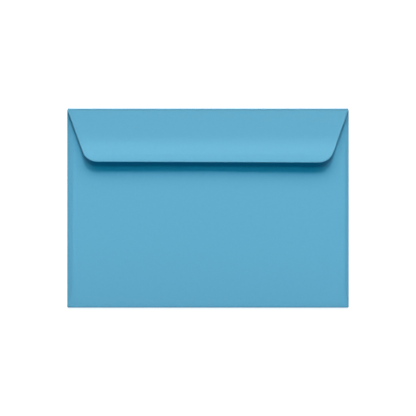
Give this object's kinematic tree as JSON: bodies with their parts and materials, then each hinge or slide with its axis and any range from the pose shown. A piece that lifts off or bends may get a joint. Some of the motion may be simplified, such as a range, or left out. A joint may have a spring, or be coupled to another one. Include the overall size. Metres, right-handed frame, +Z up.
{
  "type": "paper envelope",
  "caption": "Wide wallet envelope of plain coloured paper, with a long seal flap with rounded corners that stands slightly open and a glued, empty pocket.",
  "frame": {"origin": "middle of the underside of the front panel, on which the envelope lies", "axes": "+X along the long side, +Y towards the fold of the seal flap, +Z up through the back panel and the seal flap"},
  "size_m": [0.229, 0.162, 0.0036],
  "materials": {
    "paper": "matte"
  },
  "bodies": {
    "root": {"envelope": "paper"}
  },
  "joints": []
}
